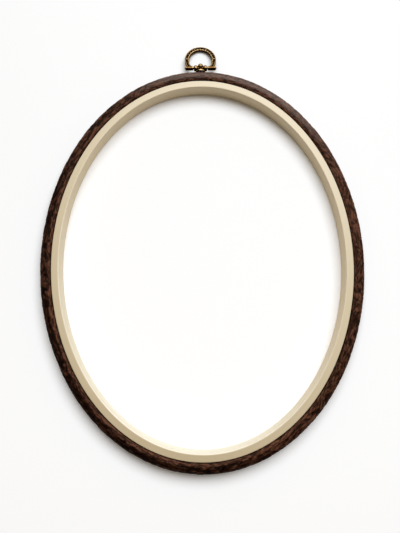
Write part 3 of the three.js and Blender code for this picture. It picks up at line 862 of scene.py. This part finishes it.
def screw():
    """A shank with a helix on it: its radius less a V-shaped groove, whose phase is y over the pitch plus the
    turn. Towards the tip the radius falls with the square root of what is left."""
    y = np.linspace(-NECK_REACH + 0.2, shank_tip, 150)[:, None]
    turn = np.linspace(0, 2 * np.pi, 48, endpoint=False)[None, :]
    phase = (y / THREAD_PITCH + turn / (2 * np.pi)) % 1.0
    groove = THREAD_DEPTH * np.abs(2 * phase - 1) * step_between(-y, *THREAD_START)
    taper = np.clip((y - shank_tip) / TIP_LENGTH, 0, 1)
    radius = np.maximum(SHANK_RADIUS - groove, 0) * np.sqrt(taper)
    radius[0] = 0
    return np.stack([radius * np.cos(turn), y + 0 * turn, radius * np.sin(turn)], -1), False, True


post = cast("brass_post", [barrel(), ball((0, BALL_RISE, 0), BALL_RADIUS), neck(), screw()], 0.075, 3)
rub_marks(post, 60, CAST_LEVEL)
seat_on_pin(post, 0.0)


def washer_points():
    """The dome's section turned about Y: out under the dome, up its rim, back over its top to the hole."""
    rim, top = HOOP_EDGE + WASHER_GAP, -NECK_REACH - WASHER_GAP
    shoulder_at = WASHER_HOLE + (WASHER_RADIUS - WASHER_HOLE) * FULLNESS
    inner_foot, rim_top = (WASHER_RADIUS - WASHER_WALL, rim), (WASHER_RADIUS, rim + WASHER_RIM)
    rim_middle = (WASHER_RADIUS, rim + WASHER_RIM / 2)
    hole_top, hole_foot = (WASHER_HOLE, top), (WASHER_HOLE, top - WASHER_WALL)
    section = np.concatenate([
        bend(hole_foot, (shoulder_at, top - WASHER_WALL), inner_foot, 16),
        bend(inner_foot, (WASHER_RADIUS, rim), rim_middle, 8),
        line(rim_middle, rim_top, 3),
        bend(rim_top, (shoulder_at, top), hole_top, 24),
        line(hole_top, hole_foot, 4),
    ])
    points, _, _ = turned(section[:, 0], section[:, 1], "y", 96)
    return points, True, True


washer = piece("brass_washer", [washer_points()])
rub_marks(washer, 20, CAST_LEVEL)
seat_on_pin(washer, 0.0)

# %% [markdown]
# ## The bail
#
# The bail is a flat cast loop. A ridge runs along its inner edge and a raised rim along its outer one, and in
# the channel between them lie pearls, along the top and down to the shoulders. A collar crosses the band at
# each end of the top row, a boss sits halfway down each side, and below that the band flares into two strands
# that stand on the bar. Ridge and rim swell a little beside each pearl. The loop droops from the pin until
# its far end lies just over the table.

# %% Bail
loop_half_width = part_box("hanger_bail")[1].x / MM
BAIL_REACH, LOOP_RISE = 18.4, 7.0  # from the pin to the loop's far end, and to its widest place
REST_GAP = 0.12  # between the far end and the table
BAIL_THICKNESS, BAIL_BAND = 1.6, 3.0
loop_half_length = BAIL_REACH - LOOP_RISE
face_height = BAIL_THICKNESS / 2  # over the band's middle, like the heights below
CHANNEL = -0.05
RIDGE_MIDDLE, RIDGE_HALF = 2.45, 0.48
RIM_MIDDLE, RIM_HALF = 0.38, 0.33
PEARL_RADIUS, PEARLS_INWARDS, TOP_PEARLS, SIDE_PEARLS = 0.56, 1.3, 3, 3
PEARL_PITCH, FIRST_PEARL, PEARLS_END = 12.5, 9.5, (66, 74)  # degrees apart, from the collar, from the top
COLLAR_ANGLE, BOSS_ANGLE, BAND_END = 25.5, 86.0, 100.0  # degrees from the top
COLLAR_HALF, BOSS_RADIUS = 0.5, 0.8
KNUCKLE_RADIUS, KNUCKLE_ROUND, KNUCKLE_START = 1.35, 0.25, 4.8
FOOT_TOP, FOOT_BEND, FOOT_STRAND, FOOT_STRAND_RISE = 5.2, 2.2, 0.5, 0.15
knuckle_end = loop_half_width - PIN_HEAD_HEIGHT - PIN_PLAY


def loop_place(from_top, inwards, height):
    """The loop's outer ellipse at an angle from its top, moved inwards square to it, at that height."""
    turn = np.pi / 2 - np.radians(np.asarray(from_top, float))
    x, y = loop_half_width * np.cos(turn), loop_half_length * np.sin(turn)
    normal = np.stack([loop_half_length * np.cos(turn), loop_half_width * np.sin(turn)], axis=-1)
    normal /= np.linalg.norm(normal, axis=-1, keepdims=True)
    flat = np.stack([x, y + LOOP_RISE], axis=-1) - np.asarray(inwards, float)[..., None] * normal
    return np.concatenate([flat, np.broadcast_to(height, flat.shape[:-1])[..., None]], axis=-1)


def mirrored(surface):
    points, rows, columns = surface
    return points * np.array([-1.0, 1, 1]), rows, columns


def foot():
    """Right foot: a web between the loop's outer ellipse and an inner curve that sweeps in to the bar, with a
    strand along each of the two."""
    foot_top = loop_place(90.0, BAIL_BAND, 0)[0]
    inside = bend((KNUCKLE_START, KNUCKLE_RADIUS - 0.4), (foot_top, FOOT_BEND), (foot_top, FOOT_TOP), 40)
    outside = loop_half_width * np.sqrt(1 - ((inside[:, 1] - LOOP_RISE) / loop_half_length) ** 2)
    inner_edge = np.append(inside, np.zeros((40, 1)), axis=1)
    outer_edge = np.stack([outside, inside[:, 1], 0 * outside], axis=-1)
    outer_path = outer_edge + np.array([-FOOT_STRAND - 0.05, 0, FOOT_STRAND_RISE])
    inner_path = inner_edge + np.array([FOOT_STRAND, 0, FOOT_STRAND_RISE])
    strands = [strand(path, FOOT_STRAND, FOOT_STRAND) for path in (outer_path, inner_path)]
    return [band(outer_edge, inner_edge, -0.7, 0.0, 0.2)] + strands


def knuckle():
    """Right knuckle: a plain bar on the pin with slightly rounded ends."""
    r = KNUCKLE_ROUND
    x = np.array([KNUCKLE_START, KNUCKLE_START, KNUCKLE_START + r, knuckle_end - r, knuckle_end, knuckle_end])
    radius = KNUCKLE_RADIUS - np.array([KNUCKLE_RADIUS, r, 0, 0, r, KNUCKLE_RADIUS])
    return turned(radius, x, "x")


angles = np.linspace(-BAND_END, BAND_END, 240)
in_pearls = 1 - step_between(np.abs(angles), *PEARLS_END)
waves = np.cos(np.radians(angles) * 360 / PEARL_PITCH) * in_pearls
outer_edge, inner_edge = loop_place(angles, 0.1, 0), loop_place(angles, BAIL_BAND, 0)
bail_parts = [band(outer_edge, inner_edge, -face_height, CHANNEL)]
ridge_path = loop_place(angles, RIDGE_MIDDLE, face_height - RIDGE_HALF)
bail_parts.append(strand(ridge_path, RIDGE_HALF + 0.07 * waves, RIDGE_HALF + 0.05 * waves))
rim_path = loop_place(angles, RIM_MIDDLE - 0.02 * waves, face_height - RIM_HALF - 0.08)
bail_parts.append(strand(rim_path, RIM_HALF + 0.02 * waves, RIM_HALF + 0.08 * waves))
for side in (-1, 1):
    bail_parts.append(ball(loop_place(side * BOSS_ANGLE, BAIL_BAND / 2, CHANNEL + 0.2), BOSS_RADIUS))
    radial = loop_place(side * COLLAR_ANGLE, np.linspace(0.1, BAIL_BAND, 12), 0)
    bail_parts.append(strand(radial, COLLAR_HALF, face_height + 0.05))
    for i in range(SIDE_PEARLS):
        from_top = side * (COLLAR_ANGLE + FIRST_PEARL + i * PEARL_PITCH)
        bail_parts.append(ball(loop_place(from_top, PEARLS_INWARDS, CHANNEL), PEARL_RADIUS))
for i in range(TOP_PEARLS):
    from_top = (i - (TOP_PEARLS - 1) / 2) * PEARL_PITCH
    bail_parts.append(ball(loop_place(from_top, PEARLS_INWARDS, CHANNEL), PEARL_RADIUS))
for part in foot() + [knuckle()]:
    bail_parts += [part, mirrored(part)]

pin_height = pin_place[2] / MM - REST_GAP
droop = math.asin(pin_height / math.hypot(BAIL_REACH, face_height)) - math.atan2(face_height, BAIL_REACH)
bail = cast("brass_bail", bail_parts, 0.1, 3)
rub_marks(bail, 60)
seat_on_pin(bail, droop)


def pin_points():
    """The pin turned about X: half, mirrored, with a domed head whose radius is an ellipse's."""
    bow = np.linspace(0, np.pi / 2, 8)
    radius = np.concatenate([PIN_HEAD_RADIUS * np.sin(bow), [PIN_HEAD_RADIUS, PIN_RADIUS]])
    under_head = knuckle_end + PIN_PLAY
    x = np.concatenate([under_head + PIN_HEAD_HEIGHT * np.cos(bow), [under_head] * 2])
    return turned(np.concatenate([radius, radius[::-1]]), np.concatenate([x, -x[::-1]]), "x")


pin = piece("brass_pin", [pin_points()])
rub_marks(pin, 4)
seat_on_pin(pin, droop)
print("the bail droops by", round(math.degrees(droop), 1), "degrees")

# %% [markdown]
# ## Antique brass
#
# One finish serves the four hanger pieces. The rub attribute leads: deep spots are a dull black oxide, level
# ones a warm brown, and high ones that the mop got to are bare brass. Faces turned from the lamp and low
# parts count as out of reach, so they stay black and brown as painted shade. Noise breaks the borders up, as
# a polishing mop never rubs evenly.

# %% Antique brass
BRASS_BLACK = colour(0.011, 0.0052, 0.0018)
BRASS_BROWN = colour(0.14, 0.064, 0.018)
BRASS_BARE = colour(0.61, 0.40, 0.19)
BRASS_SHEEN = colour(1.0, 0.76, 0.48)  # its gloss at a flat angle
CLEARED_FROM, CLEARED_FULL = 0.35, 0.55  # the rub where the black goes
BARE_FROM, BARE_FULL = 0.56, 0.82  # the rub where the metal shows
UNREACHED = 0.1  # how far the black goes where no mop reaches and where shade is painted
brass, graph, shader = new_material("antique_brass")
place = graph.node("ShaderNodeTexCoord", {}, {}, "Object")
blotches = graph.noise(place, 700.0, 3.0, 0.6)
scratches = graph.noise(graph.stretch(place, (1.0, 3.0, 3.0)), 3500.0, 2.0, 0.6)
rub = graph.attribute("rub") + (blotches - 0.5) * 0.25 + (scratches - 0.5) * 0.12
# painted shade as well as reach: faces turned from the lamp and low parts stay dark
reach_and_painted_shade = graph.attribute("reach_and_painted_shade")
cleared = graph.between(rub, CLEARED_FROM, CLEARED_FULL) * (UNREACHED + reach_and_painted_shade * (1 - UNREACHED))
bare = graph.between(rub, BARE_FROM, BARE_FULL) * reach_and_painted_shade
shade = graph.mix(bare, graph.mix(cleared, BRASS_BLACK, BRASS_BROWN), BRASS_BARE)
graph.put(shader.inputs["Base Color"], shade)
graph.put(shader.inputs["Metallic"], 0.92 + cleared * 0.08)
graph.put(shader.inputs["Roughness"], 0.36 - bare * 0.1 + (scratches - 0.5) * 0.1)
graph.put(shader.inputs["Specular Tint"], BRASS_SHEEN)
marks = blotches + scratches
bump = graph.node("ShaderNodeBump", {}, {"Strength": 0.4, "Distance": 0.00004, "Height": marks})
graph.put(shader.inputs["Normal"], bump)

BRASS_PIECES = {
    "hanger_post": (post, "outer_hoop_body"),
    "dome_washer": (washer, "outer_hoop_body"),
    "hanger_bail": (bail, "bail_body"),
    "hinge_pin": (pin, "bail_body"),
}
for node_name, (made, body) in BRASS_PIECES.items():
    made.data.materials.append(brass)
    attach(made, body)
    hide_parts(node_name)
print("brass on", [made.name for made, _ in BRASS_PIECES.values()])
